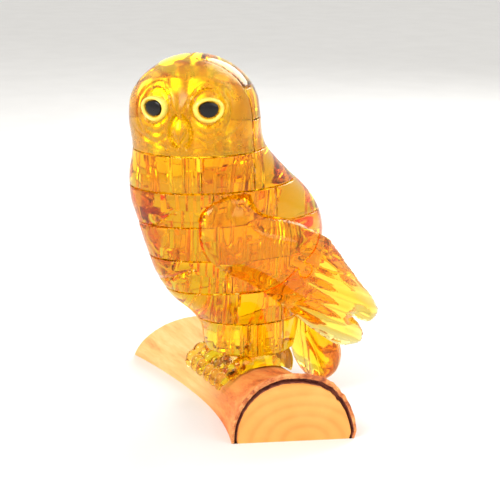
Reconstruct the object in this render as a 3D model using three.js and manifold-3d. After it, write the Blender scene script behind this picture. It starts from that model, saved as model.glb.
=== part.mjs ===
// Clear amber owl perched across half a log: an interlocking figurine of 42 moulded pieces on a wooden base.
// Millimetres, +Z up. The owl's body faces -Y, its left side is +X, and the log runs along X.
// Heights are laid out from a level LOG.bottom under the log; at the end the whole model is set on Z = 0,
// centred under its own bounding box.
import * as THREE from 'three';
import { mergeVertices } from 'three/addons/utils/BufferGeometryUtils.js';
import Module from 'manifold-3d';

const wasm = await Module();
wasm.setup();

// ---------------------------------------------------------------- driving dimensions
const HEIGHT = 97; // level of the crown's top, so the figurine stands HEIGHT - LOG.bottom high
const BODY_BASE = 20; // underside of the lowest body slice
const SLICE = 9; // thickness of one body slice
const SLICE_NAMES = ['thigh', 'lower_belly', 'belly', 'lower_breast', 'breast', 'shoulder'];
const HEAD_BASE = BODY_BASE + SLICE * SLICE_NAMES.length;
const HEAD_RING = (HEIGHT - HEAD_BASE) / 3; // two head rings and the crown share the head's height
const CROWN_BASE = HEIGHT - HEAD_RING;
const GAP = 0.3; // clearance between neighbouring pieces
const HALF_GAP = GAP / 2;
const FAR = 60; // reach of a cutting block, past every surface of the owl
const SIDES = [['left', 1], ['right', -1]]; // the owl's own left is +X

// Outline of the body, from the underside to the brow: height, foremost y, rearmost y, half width.
const BODY_STATIONS = [
  [15, -3, 17.5, 10.5],
  [20, -5, 18.5, 11.5],
  [27, -6.5, 20, 12],
  [31, -9.5, 21, 12.3],
  [35, -14, 22.5, 12.8],
  [40, -17.5, 24, 13.3],
  [50, -21.4, 27, 14.6],
  [57, -23.4, 25, 15.6],
  [62, -24.7, 21.3, 16.4],
  [67, -24.8, 16, 16.8],
  [74, -23.7, 9.8, 16.1],
  [82, -24.4, 8.2, 16.4],
  [88, -23.8, 7.4, 15.8],
  [HEIGHT, -22, 6.5, 15],
];
const BODY_SEGMENTS = 36;
const ROWS_PER_SLICE = 2;
const CROWN_ROWS = 5;
const DOME_BASE = 85; // above this height the head closes as a dome

const ROD = { radius: 1.8, y: 1, foot: 8, top: 92, sides: 10 }; // from inside the log to inside the crown

const KNOB = { radius: 1.8, reach: 3.8, neck: 2.2, arcSteps: 8 };
const FRONT_SHARE = 0.31; // share of a slice's depth in its front piece
const BACK_SHARE = 0.33;
const WIDE_KNOBS = 0.52; // knob positions, as shares of the slice's half width
const NARROW_KNOBS = 0.36;

const PEG = { radius: 1.5, height: 2.6, inset: 0.13 }; // inset as a share of the slice's depth
const SIDE_PEG_X = 4; // the side pieces' pegs, near the rod and clear of the knobs
const SIDE_PEG_Y = [null, 4, 4, -3, -4]; // at each seam going up; the lowest slice has none
const NECK_PEGS = { left: [8, -0.6], right: [-8, -0.6] }; // on the shoulder slice, under the head

const FACE_TURN = THREE.MathUtils.degToRad(54); // the head looks to the owl's left
const HEAD_CENTRE = { x: 0, y: -8 };
const FACE_SEAM = -5; // back of the face piece, in the head's own axes
const HEAD_BACK_SEAM = 3.5; // front of the pieces behind, in the same axes
const FACE_KNOB_X = 6;
const HEAD_BACK_KNOB_X = [9.5, 11.5]; // lower ring, upper ring
const HEAD_PEGS = { left: [2.2, -2], right: [-2.2, -2], back: [0, 9] }; // in the head's own axes
const HEAD_RING_NAMES = [
  { left: 'cheek_left', right: 'cheek_right', back: 'nape' },
  { left: 'temple_left', right: 'temple_right', back: 'occiput' },
];

const EYE = { height: 85.8, spread: THREE.MathUtils.degToRad(25), reach: 15.1 };
const EYE_RING = { inner: 2.6, outer: 3.8, rise: 1.5, root: 2, sides: 14 };
const PUPIL = { radius: 2.3, depth: 1.2, sides: 12 };
const BEAK = { height: 80.2, reach: 15.2, radii: [1.9, 2.4, 3.1], tilt: THREE.MathUtils.degToRad(12) };

const WING_INSIDE = 13; // flank plane that the wings lie against
const WING_AXIS = { y: 12.3, z: 44.1, tilt: THREE.MathUtils.degToRad(-33.5) };
const WING_RADII = [6, 37, 13.5]; // bulge, half length, half width
// The cut across a wing, in YZ: coverts above it, primaries below.
const WING_SEAM = { from: new THREE.Vector2(3, 38), to: new THREE.Vector2(21, 53) };
const WING_PEG = { y: -1.5, z: 60.5, radius: 1.6, depth: 3.6, root: 2 };
// Behind the wings the flank is planed flat up to the breast slice, so that the wings rise with that slice.
const FLANK = { front: 8, top: BODY_BASE + 4 * SLICE };

const TAIL_PEG = { x: 4, z: 33.5, radius: 1.4, end: 16.8, root: 24 };
const TAIL_TOP = 36.8;

const FOOT = { inner: 0.6, outer: 11, heel: 16.5, front: -3.5, bottom: 10, soleEnd: 12 };
const TOES = [2.4, 6, 9.6]; // distance of each toe from the owl's middle
const TOE = { y: -2.6, z: 15.9, radii: [1.7, 4.8, 2.4], droop: 0.45 };

const LOG = {
  far: -44, near: 33.3, front: -5.7, back: 18.3, bottom: 5, height: 10.9, farLean: 0.8, nearTurn: 0.33,
};
// From the waist the front spreads and the back of the log rises, more towards the near end.
const LOG_WAIST = { x: -3, nearFlare: 0.0039, farFlare: 0.0022, nearRise: 0.0051, farRise: 0.001 };
const LOG_ROUNDNESS = 2.1; // exponent of the superellipse across the log
const LOG_STEPS = 12;
const LOG_SIDES = 16;

const AMBER = { color: 0xf2a92c, roughness: 0.08, metalness: 0 };
const WOOD = { color: 0xf0b878, roughness: 0.6, metalness: 0 };
const BLACK = { color: 0x0b0a09, roughness: 0.15, metalness: 0 };

// ---------------------------------------------------------------- solids
function signedVolume(geometry) {
  const position = geometry.attributes.position;
  const corner = [0, 1, 2].map(() => new THREE.Vector3());
  let volume = 0;
  for (let i = 0; i < geometry.index.count; i += 3) {
    corner.forEach((c, k) => c.fromBufferAttribute(position, geometry.index.getX(i + k)));
    volume += corner[0].dot(corner[1].clone().cross(corner[2])) / 6;
  }
  return volume;
}

function solid(geometry) {
  const bare = geometry.clone();
  bare.deleteAttribute('normal');
  bare.deleteAttribute('uv');
  const merged = mergeVertices(bare, 1e-4);
  const triangles = new Uint32Array(merged.index.array);
  if (signedVolume(merged) < 0) triangles.reverse();
  return new wasm.Manifold(new wasm.Mesh({
    numProp: 3,
    vertProperties: new Float32Array(merged.attributes.position.array),
    triVerts: triangles,
  }));
}

function boxGeometry(x0, x1, y0, y1, z0, z1) {
  const geometry = new THREE.BoxGeometry(x1 - x0, y1 - y0, z1 - z0);
  return geometry.translate((x0 + x1) / 2, (y0 + y1) / 2, (z0 + z1) / 2);
}

function box(...limits) {
  return solid(boxGeometry(...limits));
}

// A prism of a shape drawn in XY, from z0 to z1.
function prismGeometry(shape, z0, z1) {
  const geometry = new THREE.ExtrudeGeometry(shape, { depth: z1 - z0, bevelEnabled: false });
  return geometry.translate(0, 0, z0);
}

// A prism of a shape drawn in YZ, from x0 to x1.
function sidePrism(shape, [x0, x1], curveSegments = 3) {
  const geometry = new THREE.ExtrudeGeometry(shape, { depth: x1 - x0, bevelEnabled: false, curveSegments });
  geometry.translate(0, 0, x0);
  geometry.applyMatrix4(new THREE.Matrix4().set(0, 0, 1, 0, 1, 0, 0, 0, 0, 1, 0, 0, 0, 0, 0, 1));
  return solid(geometry);
}

// A round peg or hole between two points.
function rod(from, to, radius, sides = 8) {
  const start = new THREE.Vector3(...from);
  const along = new THREE.Vector3(...to).sub(start);
  const geometry = new THREE.CylinderGeometry(radius, radius, along.length(), sides);
  geometry.translate(0, along.length() / 2, 0);
  geometry.applyQuaternion(new THREE.Quaternion().setFromUnitVectors(
    new THREE.Vector3(0, 1, 0), along.clone().normalize()));
  geometry.translate(start.x, start.y, start.z);
  return solid(geometry);
}

function ellipsoid(centre, radii, turn, segments) {
  const geometry = new THREE.SphereGeometry(1, segments, segments / 2);
  geometry.scale(...radii);
  geometry.applyQuaternion(turn);
  geometry.translate(...centre);
  return solid(geometry);
}

// Two distances from the middle plane as an x range on one side of the owl.
function sideSpan(sign, near, far) {
  return sign > 0 ? [near, far] : [-far, -near];
}

function aboutX(angle) {
  return new THREE.Quaternion().setFromAxisAngle(new THREE.Vector3(1, 0, 0), angle);
}

// ---------------------------------------------------------------- outer forms
const bodyCurve = new THREE.CubicInterpolant(
  BODY_STATIONS.map((row) => row[0]), BODY_STATIONS.flatMap((row) => row.slice(1)), 3);

function bodySection(z) {
  const [front, back, halfWidth] = bodyCurve.evaluate(z);
  const rise = Math.max(0, (z - DOME_BASE) / (HEIGHT - DOME_BASE));
  const dome = Math.sqrt(Math.max(0, 1 - rise * rise));
  return {
    front,
    back,
    depth: back - front,
    middle: (front + back) / 2,
    halfDepth: dome * (back - front) / 2,
    halfWidth: dome * halfWidth,
  };
}

function bodyHeights() {
  const heights = [];
  const step = SLICE / ROWS_PER_SLICE;
  for (let z = BODY_BASE - SLICE / 2; z < DOME_BASE; z += step) heights.push(z);
  for (let row = 0; row <= CROWN_ROWS; row++) {
    const angle = (row / CROWN_ROWS) * (Math.PI / 2);
    heights.push(DOME_BASE + (HEIGHT - DOME_BASE) * Math.sin(angle));
  }
  return heights;
}

// The owl without wings, tail or feet: a unit lathe form pulled out to the ellipse at each height.
function bodyForm(offsetY = 0) {
  const heights = bodyHeights();
  const profile = [new THREE.Vector2(0, heights[0])];
  for (const z of heights.slice(0, -1)) profile.push(new THREE.Vector2(1, z));
  profile.push(new THREE.Vector2(0, HEIGHT));
  const geometry = new THREE.LatheGeometry(profile, BODY_SEGMENTS);
  geometry.rotateX(Math.PI / 2);
  const position = geometry.attributes.position;
  for (let i = 0; i < position.count; i++) {
    const section = bodySection(position.getZ(i));
    position.setX(i, position.getX(i) * section.halfWidth);
    position.setY(i, section.middle + position.getY(i) * section.halfDepth + offsetY);
  }
  return solid(geometry);
}

// Half a log lying flat side down, waisted under the owl, with a leaning cut at the far end and a turned one
// at the near end.
function logForm(grow = 0) {
  const shape = new THREE.Shape();
  shape.moveTo(-1, 0);
  for (let k = 1; k < LOG_SIDES; k++) {
    const across = -Math.cos((Math.PI * k) / LOG_SIDES);
    shape.lineTo(across, (1 - Math.abs(across) ** LOG_ROUNDNESS) ** (1 / LOG_ROUNDNESS));
  }
  shape.lineTo(1, 0);
  const geometry = new THREE.ExtrudeGeometry(shape, { depth: 1, steps: LOG_STEPS, bevelEnabled: false });
  const position = geometry.attributes.position;
  for (let i = 0; i < position.count; i++) {
    const along = LOG.far + (LOG.near - LOG.far) * position.getZ(i);
    const fromWaist = along - LOG_WAIST.x;
    const flare = fromWaist > 0 ? LOG_WAIST.nearFlare : LOG_WAIST.farFlare;
    const rise = fromWaist > 0 ? LOG_WAIST.nearRise : LOG_WAIST.farRise;
    const front = LOG.front - flare * fromWaist ** 2 - grow;
    const back = LOG.back + grow;
    const y = (front + back) / 2 + position.getX(i) * (back - front) / 2;
    const z = position.getY(i) * (LOG.height + rise * fromWaist ** 2 + grow);
    const farLean = (1 - position.getZ(i)) * LOG.farLean * z;
    const nearTurn = position.getZ(i) * LOG.nearTurn * (y - (LOG.front + LOG.back) / 2);
    position.setXYZ(i, along + farLean + nearTurn, y, LOG.bottom + z);
  }
  return solid(geometry);
}

// ---------------------------------------------------------------- jigsaw joints
// A jigsaw knob at a point, growing along a direction; a positive grow makes its socket.
function knobShape(x, y, angle, grow) {
  const radius = KNOB.radius + grow;
  const neck = KNOB.neck / 2 + grow;
  const centre = KNOB.reach - KNOB.radius;
  const opening = Math.asin(neck / radius);
  const points = [new THREE.Vector2(-1, neck)];
  for (let k = 0; k <= KNOB.arcSteps; k++) {
    const turn = Math.PI - opening - (k / KNOB.arcSteps) * 2 * (Math.PI - opening);
    points.push(new THREE.Vector2(centre + radius * Math.cos(turn), radius * Math.sin(turn)));
  }
  points.push(new THREE.Vector2(-1, -neck));
  points.forEach((point) => point.rotateAround(new THREE.Vector2(), angle).add(new THREE.Vector2(x, y)));
  return new THREE.Shape(points);
}

// Gives one cell a knob and its neighbour the socket, both running from low to high. The place function
// moves a geometry from the axes that the seam is drawn in to the owl's.
function lock(cells, owner, taker, knob, [low, high], place = (geometry) => geometry) {
  const key = solid(place(prismGeometry(knobShape(...knob, -HALF_GAP), low, high)));
  const socket = solid(place(prismGeometry(knobShape(...knob, HALF_GAP), low - 1, high + 1)));
  cells[owner] = cells[owner].add(key);
  cells[taker] = cells[taker].subtract(socket);
}

function addPeg(piece, [x, y], z) {
  return piece.add(rod([x, y, z - 1], [x, y, z + PEG.height], PEG.radius));
}

function cutSocket(piece, [x, y], z) {
  return piece.subtract(rod([x, y, z - 1], [x, y, z + PEG.height + GAP], PEG.radius + GAP));
}

// ---------------------------------------------------------------- body
const pieces = new Map();
const body = bodyForm();
const rodHole = rod([0, ROD.y, -1], [0, ROD.y, ROD.top + GAP], ROD.radius + GAP, ROD.sides);

// The four cells of one slice: front and back across the whole width, and two sides split at x = 0.
function sliceCells(z0, level) {
  const section = bodySection(z0 + SLICE / 2);
  const frontSeam = section.front + FRONT_SHARE * section.depth;
  const backSeam = section.back - BACK_SHARE * section.depth;
  const span = [z0 + HALF_GAP, z0 + SLICE - HALF_GAP];
  const cells = {
    front: box(-FAR, FAR, -FAR, frontSeam - HALF_GAP, ...span),
    left: box(HALF_GAP, FAR, frontSeam + HALF_GAP, backSeam - HALF_GAP, ...span),
    right: box(-FAR, -HALF_GAP, frontSeam + HALF_GAP, backSeam - HALF_GAP, ...span),
    back: box(-FAR, FAR, backSeam + HALF_GAP, FAR, ...span),
  };
  const wide = section.halfWidth * WIDE_KNOBS;
  const narrow = section.halfWidth * NARROW_KNOBS;
  const backwards = Math.PI / 2;
  for (const [side, sign] of SIDES) {
    if (level % 2 === 1) {
      lock(cells, side, 'front', [sign * narrow, frontSeam, -backwards], span);
      lock(cells, side, 'back', [sign * wide, backSeam, backwards], span);
    } else {
      lock(cells, 'front', side, [sign * wide, frontSeam, backwards], span);
      lock(cells, 'back', side, [sign * narrow, backSeam, -backwards], span);
    }
  }
  return cells;
}

// Pegs on top of a slice stand at places that lie inside the matching piece of the slice above.
function pegPlaces(level) {
  const section = bodySection(BODY_BASE + SLICE * (level + 1));
  const inset = PEG.inset * section.depth;
  const places = { front: [0, section.front + inset], back: [0, section.back - inset] };
  if (SIDE_PEG_Y[level] !== null) {
    for (const [side, sign] of SIDES) places[side] = [sign * SIDE_PEG_X, SIDE_PEG_Y[level]];
  }
  return places;
}

function wingPocket(sign) {
  return sidePrism(wingShape(GAP), sideSpan(sign, WING_INSIDE, FAR));
}

function wingPegSocket(sign) {
  const { y, z, radius, depth } = WING_PEG;
  return rod([sign * FAR, y, z], [sign * (WING_INSIDE - depth - GAP), y, z], radius + GAP);
}

function tailPegSocket(sign) {
  const { x, z, radius, end } = TAIL_PEG;
  return rod([sign * x, end - GAP, z], [sign * x, FAR, z], radius + GAP);
}

function makeBody() {
  let flesh = body.subtract(rodHole);
  for (const [, sign] of SIDES) {
    flesh = flesh.subtract(wingPocket(sign)).subtract(wingPegSocket(sign)).subtract(tailPegSocket(sign));
    flesh = flesh.subtract(box(...sideSpan(sign, WING_INSIDE, FAR), FLANK.front, FAR, 0, FLANK.top));
  }
  SLICE_NAMES.forEach((name, level) => {
    const z0 = BODY_BASE + SLICE * level;
    const cells = sliceCells(z0, level);
    const above = level < SLICE_NAMES.length - 1 ? pegPlaces(level) : NECK_PEGS;
    const below = level > 0 ? pegPlaces(level - 1) : {};
    for (const [part, cell] of Object.entries(cells)) {
      let piece = flesh.intersect(cell);
      if (below[part]) piece = cutSocket(piece, below[part], z0);
      if (above[part]) piece = addPeg(piece, above[part], z0 + SLICE);
      pieces.set(`${name}_${part}`, piece);
    }
  });
}

// ---------------------------------------------------------------- head
// Moves a geometry from the head's own axes (origin at its centre, face towards -Y) to the owl's.
function onHead(geometry) {
  return geometry.rotateZ(FACE_TURN).translate(HEAD_CENTRE.x, HEAD_CENTRE.y, 0);
}

function headPoint([x, y]) {
  const point = new THREE.Vector3(x, y, 0).applyAxisAngle(new THREE.Vector3(0, 0, 1), FACE_TURN);
  return [point.x + HEAD_CENTRE.x, point.y + HEAD_CENTRE.y];
}

function headBox(...limits) {
  return solid(onHead(boxGeometry(...limits)));
}

// One ring of the head without its face: two sides and the back, locked to each other.
function headRing(flesh, names, level) {
  const z0 = HEAD_BASE + HEAD_RING * level;
  const z1 = z0 + HEAD_RING;
  const span = [z0 + HALF_GAP, z1 - HALF_GAP];
  const sideDepth = [FACE_SEAM + HALF_GAP, HEAD_BACK_SEAM - HALF_GAP];
  const cells = { back: headBox(-FAR, FAR, HEAD_BACK_SEAM + HALF_GAP, FAR, ...span) };
  for (const [side, sign] of SIDES) {
    cells[side] = headBox(...sideSpan(sign, HALF_GAP, FAR), ...sideDepth, ...span);
    const knob = [sign * HEAD_BACK_KNOB_X[level], HEAD_BACK_SEAM, -Math.PI / 2];
    lock(cells, 'back', side, knob, span, onHead);
  }
  for (const [part, name] of Object.entries(names)) {
    const place = headPoint(HEAD_PEGS[part]);
    let piece = flesh.intersect(cells[part]);
    if (level === 0) Object.values(NECK_PEGS).forEach((peg) => { piece = cutSocket(piece, peg, z0); });
    else piece = cutSocket(piece, place, z0);
    pieces.set(name, addPeg(piece, place, z1));
  }
}

// The face, chin to brow in one piece, with a knob on each side that runs up both rings.
function makeFace(flesh) {
  const span = [HEAD_BASE + HALF_GAP, CROWN_BASE - HALF_GAP];
  const cells = { face: headBox(-FAR, FAR, -FAR, FACE_SEAM - HALF_GAP, HEAD_BASE + HALF_GAP, HEIGHT + 1) };
  for (const [side, sign] of SIDES) {
    const knob = [sign * FACE_KNOB_X, FACE_SEAM, Math.PI / 2];
    const key = solid(onHead(prismGeometry(knobShape(...knob, -HALF_GAP), ...span)));
    const socket = solid(onHead(prismGeometry(knobShape(...knob, HALF_GAP), HEAD_BASE - 1, CROWN_BASE + 1)));
    cells.face = cells.face.add(key);
    for (const names of HEAD_RING_NAMES) {
      pieces.set(names[side], pieces.get(names[side]).subtract(socket));
    }
  }
  pieces.set('face', addEyes(flesh.intersect(cells.face)).add(beak()));
}

// Raises a ring round each eye, bores its socket and sets a pupil in it.
function addEyes(blank) {
  let face = blank;
  for (const [name, sign] of SIDES) {
    const azimuth = FACE_TURN + sign * EYE.spread;
    const out = new THREE.Vector3(Math.sin(azimuth), -Math.cos(azimuth), 0);
    const middle = new THREE.Vector3(HEAD_CENTRE.x, HEAD_CENTRE.y, EYE.height);
    const centre = middle.addScaledVector(out, EYE.reach);
    const at = (reach) => centre.clone().addScaledVector(out, reach).toArray();
    face = face.add(rod(at(-EYE_RING.root), at(EYE_RING.rise), EYE_RING.outer, EYE_RING.sides));
    face = face.subtract(rod(at(0), at(FAR), EYE_RING.inner, PUPIL.sides));
    pieces.set(`pupil_${name}`, rod(at(GAP), at(GAP + PUPIL.depth), PUPIL.radius, PUPIL.sides));
  }
  return face;
}

// A short beak: an upright ellipsoid half sunk in the face, its point tucked in.
function beak() {
  const out = new THREE.Vector3(Math.sin(FACE_TURN), -Math.cos(FACE_TURN), 0).multiplyScalar(BEAK.reach);
  const across = new THREE.Vector3(Math.cos(FACE_TURN), Math.sin(FACE_TURN), 0);
  const turn = new THREE.Quaternion().setFromAxisAngle(across, BEAK.tilt)
    .multiply(new THREE.Quaternion().setFromAxisAngle(new THREE.Vector3(0, 0, 1), FACE_TURN));
  return ellipsoid([HEAD_CENTRE.x + out.x, HEAD_CENTRE.y + out.y, BEAK.height], BEAK.radii, turn, 12);
}

function makeCrown(flesh) {
  for (const [side, sign] of SIDES) {
    let half = flesh.intersect(headBox(
      ...sideSpan(sign, HALF_GAP, FAR), FACE_SEAM + HALF_GAP, FAR, CROWN_BASE + HALF_GAP, HEIGHT + 1));
    Object.values(HEAD_PEGS).forEach((peg) => { half = cutSocket(half, headPoint(peg), CROWN_BASE); });
    pieces.set(`crown_${side}`, half);
  }
}

function makeHead() {
  const flesh = body.subtract(rodHole);
  HEAD_RING_NAMES.forEach((names, level) => headRing(flesh, names, level));
  makeFace(flesh);
  makeCrown(flesh);
}

// ---------------------------------------------------------------- wings
// Outline of a folded wing in YZ: shoulder dome, straight flight edge, and two feather tips.
function wingShape(grow = 0) {
  const shape = new THREE.Shape();
  const p = (y, z) => new THREE.Vector2(y, z);
  shape.moveTo(-0.6, 64 + grow);
  shape.splineThru([p(-6.5, 64 + grow), p(-11.6 - grow, 61), p(-12.9 - grow, 56.5), p(-12 - grow, 50.5),
    p(-8 - grow, 45.5 - grow), p(0, 41 - grow), p(10, 33.5 - grow), p(18, 26.5 - grow)]);
  shape.splineThru([p(25, 21.5 - grow), p(31, 20.6 - grow), p(33 + grow, 22.8), p(31.5 + grow, 26.3)]);
  shape.lineTo(29.6 + grow, 28.4);
  shape.splineThru([p(34, 26.4 - grow), p(37 + grow, 28), p(36 + grow, 32 + grow), p(30.5 + grow, 39 + grow),
    p(22.5 + grow, 50 + grow)]);
  shape.splineThru([p(13, 55.4 + grow), p(5, 57.8 + grow), p(1.2, 60.4 + grow), p(-0.6, 64 + grow)]);
  return shape;
}

// A half plane of the wing, above or below the seam and clear of it by a margin.
function wingHalf(span, margin, upper) {
  const along = WING_SEAM.to.clone().sub(WING_SEAM.from).normalize();
  const normal = new THREE.Vector2(-along.y, along.x).multiplyScalar(upper ? 1 : -1);
  const start = WING_SEAM.from.clone().addScaledVector(along, -FAR).addScaledVector(normal, margin);
  const end = WING_SEAM.to.clone().addScaledVector(along, FAR).addScaledVector(normal, margin);
  const beyond = normal.clone().multiplyScalar(FAR);
  return sidePrism(new THREE.Shape([start, end, end.clone().add(beyond), start.clone().add(beyond)]), span);
}

function wingKnob(span, grow) {
  const middle = WING_SEAM.from.clone().lerp(WING_SEAM.to, 0.5);
  const downwards = WING_SEAM.to.clone().sub(WING_SEAM.from).angle() - Math.PI / 2;
  return sidePrism(knobShape(middle.x, middle.y, downwards, grow), span);
}

function makeWing(side, sign) {
  const span = sideSpan(sign, WING_INSIDE + GAP, FAR);
  const centre = [sign * WING_INSIDE, WING_AXIS.y, WING_AXIS.z];
  const bulge = ellipsoid(centre, WING_RADII, aboutX(WING_AXIS.tilt), 20);
  const plate = sidePrism(wingShape(), span).intersect(bulge);
  const { y, z, radius, depth, root } = WING_PEG;
  const peg = rod([sign * (WING_INSIDE - depth), y, z], [sign * (WING_INSIDE + root), y, z], radius);
  const knob = wingKnob(span, -HALF_GAP).intersect(plate);
  const socket = wingKnob(sideSpan(sign, WING_INSIDE, FAR), HALF_GAP);
  pieces.set(`${side}_wing_coverts`, plate.intersect(wingHalf(span, HALF_GAP, true)).add(knob).add(peg));
  pieces.set(`${side}_wing_primaries`, plate.intersect(wingHalf(span, HALF_GAP, false)).subtract(socket));
}

// ---------------------------------------------------------------- tail
function tailProfile() {
  const p = (y, z) => new THREE.Vector2(y, z);
  const shape = new THREE.Shape();
  shape.moveTo(26, TAIL_TOP);
  shape.splineThru([p(28.8, 28), p(30.8, 20), p(31.4, 14.5)]);
  shape.splineThru([p(30, 10), p(27, 7.8)]);
  shape.lineTo(24.4, 9);
  shape.splineThru([p(21.6, 19), p(18.8, 28.6)]);
  shape.lineTo(17, 32);
  shape.lineTo(17, TAIL_TOP);
  return shape;
}

// The tail's outline seen from behind: narrow at the root, widest near its rounded end.
function tailFan() {
  const half = [[0, 7.6], [6, 9], [9.5, 13], [8, 24], [6.5, TAIL_TOP + HALF_GAP]];
  const right = half.map(([x, z]) => new THREE.Vector2(x, z));
  const left = half.slice(1).reverse().map(([x, z]) => new THREE.Vector2(-x, z));
  const shape = new THREE.Shape();
  shape.moveTo(left[0].x, left[0].y);
  shape.splineThru([...left.slice(1), ...right]);
  const options = { depth: 2 * FAR, bevelEnabled: false, curveSegments: 3 };
  const geometry = new THREE.ExtrudeGeometry(shape, options);
  geometry.rotateX(Math.PI / 2);
  return solid(geometry.translate(0, FAR, 0));
}

// The lower belly slice carries the tail. Beside the thighs below it the tail stands clear of their
// rearmost point, so that it can rise past them.
function makeTail() {
  const { x, z, radius, end, root } = TAIL_PEG;
  const thighTop = BODY_BASE + SLICE;
  const thighs = box(-FAR, FAR, -FAR, bodySection(thighTop).back + GAP, 0, thighTop);
  const fan = sidePrism(tailProfile(), [-FAR, FAR]).intersect(tailFan());
  const tail = fan.subtract(bodyForm(GAP)).subtract(thighs);
  for (const [side, sign] of SIDES) {
    const half = box(...sideSpan(sign, HALF_GAP, FAR), -FAR, FAR, 0, FAR);
    const peg = rod([sign * x, end, z], [sign * x, root, z], radius);
    pieces.set(`tail_${side}`, tail.intersect(half).add(peg));
  }
}

// ---------------------------------------------------------------- feet and base
function footProfile() {
  const top = BODY_BASE - HALF_GAP;
  const p = (y, z) => new THREE.Vector2(y, z);
  const shape = new THREE.Shape();
  shape.moveTo(FOOT.heel, top);
  shape.lineTo(FOOT.front, top);
  shape.splineThru([p(-5.5, 17.5), p(-4, 13), p(0, FOOT.bottom)]);
  shape.lineTo(FOOT.soleEnd, FOOT.bottom);
  shape.splineThru([p(FOOT.heel, 13), p(FOOT.heel, top)]);
  return shape;
}

function makeFeet() {
  const clearance = logForm(GAP);
  for (const [side, sign] of SIDES) {
    let foot = sidePrism(footProfile(), sideSpan(sign, FOOT.inner, FOOT.outer));
    for (const toe of TOES) {
      foot = foot.add(ellipsoid([sign * toe, TOE.y, TOE.z], TOE.radii, aboutX(TOE.droop), 10));
    }
    pieces.set(`foot_${side}`, foot.subtract(clearance).subtract(rodHole));
  }
}

function makeBase() {
  const socket = rod([0, ROD.y, ROD.foot - GAP], [0, ROD.y, FAR], ROD.radius + GAP, ROD.sides);
  pieces.set('half_log', logForm().subtract(socket));
  pieces.set('centre_rod', rod([0, ROD.y, ROD.foot], [0, ROD.y, ROD.top], ROD.radius, ROD.sides));
}

makeBase();
makeFeet();
makeBody();
makeTail();
for (const [side, sign] of SIDES) makeWing(side, sign);
makeHead();

// ---------------------------------------------------------------- scene graph
function finishOf(name) {
  if (name === 'half_log') return WOOD;
  if (name.startsWith('pupil')) return BLACK;
  return AMBER;
}

function meshOf(name, manifold) {
  const { vertProperties, triVerts } = manifold.getMesh();
  const geometry = new THREE.BufferGeometry();
  geometry.setAttribute('position', new THREE.BufferAttribute(vertProperties, 3));
  geometry.setIndex(new THREE.BufferAttribute(triVerts, 1));
  geometry.computeVertexNormals();
  const mesh = new THREE.Mesh(geometry, new THREE.MeshStandardMaterial(finishOf(name)));
  mesh.name = name;
  return mesh;
}

const figurine = new THREE.Group();
for (const [name, manifold] of pieces) figurine.add(meshOf(name, manifold));
const middle = new THREE.Box3().setFromObject(figurine).getCenter(new THREE.Vector3());
figurine.position.set(-middle.x, -middle.y, -LOG.bottom);

export default figurine;
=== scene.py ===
"""Fine surfaces, materials, stage and light for the clear amber owl on half a log.

Shapes are worked out in millimetres in the owl's own axes: the centre rod stands at (0, ROD_Y), the body
faces -Y and the owl's left side is +X. to_frame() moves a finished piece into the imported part's frame.
"""

import math

import bpy
import numpy as np
from mathutils import Matrix, Vector


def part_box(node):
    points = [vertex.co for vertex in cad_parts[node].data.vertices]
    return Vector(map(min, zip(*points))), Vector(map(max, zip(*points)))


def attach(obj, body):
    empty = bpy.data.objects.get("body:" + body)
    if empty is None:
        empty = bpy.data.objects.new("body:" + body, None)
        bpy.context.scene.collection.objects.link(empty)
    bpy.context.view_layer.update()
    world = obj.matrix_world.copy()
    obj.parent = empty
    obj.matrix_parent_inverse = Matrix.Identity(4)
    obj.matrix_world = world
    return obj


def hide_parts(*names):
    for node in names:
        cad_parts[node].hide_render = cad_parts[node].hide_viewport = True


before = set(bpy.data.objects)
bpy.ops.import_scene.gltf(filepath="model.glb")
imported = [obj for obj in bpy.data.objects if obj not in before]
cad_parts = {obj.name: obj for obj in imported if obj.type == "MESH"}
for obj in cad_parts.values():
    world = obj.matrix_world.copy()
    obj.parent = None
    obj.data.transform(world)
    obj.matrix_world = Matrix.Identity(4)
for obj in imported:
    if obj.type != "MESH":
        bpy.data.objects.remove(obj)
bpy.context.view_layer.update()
scene = bpy.context.scene

# ---------------- driving dimensions, in millimetres
MM = 0.001
HEIGHT = 97
BODY_BASE = 20
SLICE = 9
SLICE_NAMES = ("thigh", "lower_belly", "belly", "lower_breast", "breast", "shoulder")
HEAD_BASE = BODY_BASE + SLICE * len(SLICE_NAMES)
HEAD_RING = (HEIGHT - HEAD_BASE) / 3
CROWN_BASE = HEIGHT - HEAD_RING
DOME_BASE, DOME_PROFILE = 85, 20  # the head closes as a dome above this height; length of its profile
GAP = 0.3  # clearance between neighbouring pieces
HALF_GAP = GAP / 2
FAR = 60  # beyond every surface
CREASE = 32  # edges sharper than this many degrees are shaded crisp
SIDES = (("left", 1), ("right", -1))

# Height, foremost y, rearmost y and half width of the body and head.
BODY_STATIONS = (
    (15, -3, 17.5, 10.5),
    (20, -5, 18.5, 11.5),
    (27, -6.5, 20, 12),
    (31, -9.5, 21, 12.3),
    (35, -14, 22.5, 12.8),
    (40, -17.5, 24, 13.3),
    (50, -21.4, 27, 14.6),
    (57, -23.4, 25, 15.6),
    (62, -24.7, 21.3, 16.4),
    (67, -24.8, 16, 16.8),
    (74, -23.7, 9.8, 16.1),
    (82, -24.4, 8.2, 16.4),
    (88, -23.8, 7.4, 15.8),
    (HEIGHT, -22, 6.5, 15),
)
EDGE_ROUND = 0.22  # radius of the moulded edges along every seam
SLICE_SWELL = 0.06  # how far the skin of a slice swells between its seams

ROD_RADIUS, ROD_Y, ROD_FOOT, ROD_TOP = 1.8, 1, 8, 92
KNOB_RADIUS, KNOB_REACH, KNOB_NECK = 1.8, 3.8, 2.2
PEG_RADIUS, PEG_HEIGHT, PEG_INSET = 1.5, 2.6, 0.13
FRONT_SHARE, BACK_SHARE = 0.31, 0.33  # the front and back pieces' shares of a slice's depth
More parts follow.
